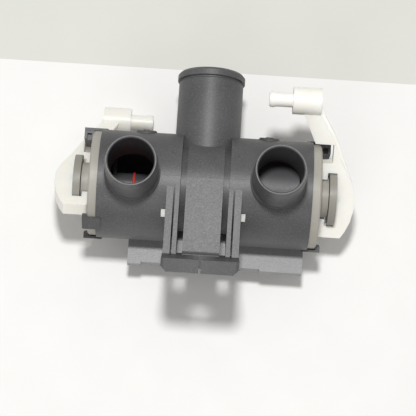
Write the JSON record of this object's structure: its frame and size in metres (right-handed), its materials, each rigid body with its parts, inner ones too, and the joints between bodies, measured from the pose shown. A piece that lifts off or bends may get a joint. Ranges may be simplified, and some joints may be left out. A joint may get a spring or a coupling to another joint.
{
  "type": "diverter valve",
  "caption": "Hose diverter valve: a barrel with a rear inlet, two top outlets, a bracket foot, and white side levers that turn shutters inside.",
  "frame": {"origin": "middle of the saddle's rest face, under the middle of the barrel", "axes": "+X along the barrel to the right lever, +Y out of the inlet, +Z out of the outlets"},
  "size_m": [0.1754, 0.1288, 0.103],
  "materials": {
    "body_plastic": "glass-filled, fine moulded grain",
    "cover_plastic": "satin warm grey",
    "natural_nylon": "natural translucent white",
    "black_rubber": "matt",
    "red_silicone": "matt",
    "zinc_steel": "zinc plated"
  },
  "bodies": {
    "body": {"valve_body": "body_plastic", "left_cover": "cover_plastic", "right_cover": "cover_plastic", "left_cover_seal": "black_rubber", "right_cover_seal": "black_rubber", "left_shaft_seal": "black_rubber", "right_shaft_seal": "black_rubber", "left_thrust_washer": "natural_nylon", "right_thrust_washer": "natural_nylon", "left_inner_bush": "natural_nylon", "right_inner_bush": "natural_nylon", "left_seal_carrier": "natural_nylon", "right_seal_carrier": "natural_nylon", "left_seat_seal": "red_silicone", "right_seat_seal": "red_silicone", "left_blanking_plug": "body_plastic", "right_blanking_plug": "body_plastic"},
    "left_actuator": {"left_rotor": "body_plastic", "left_hub_ring": "red_silicone", "left_drive_disc": "cover_plastic", "left_disc_screw": "zinc_steel", "left_lever": "natural_nylon"},
    "right_actuator": {"right_rotor": "body_plastic", "right_hub_ring": "red_silicone", "right_drive_disc": "cover_plastic", "right_disc_screw": "zinc_steel", "right_lever": "natural_nylon"}
  },
  "joints": [
    {"name": "left_lever_turn", "type": "hinge", "parent": "body", "child": "left_actuator", "pos_m": [-0.07, 0, 0.042], "axis": [1, 0, 0], "range_deg": [0, 66]},
    {"name": "right_lever_turn", "type": "hinge", "parent": "body", "child": "right_actuator", "pos_m": [0.07, 0, 0.042], "axis": [1, 0, 0], "range_deg": [-66, 0]}
  ]
}
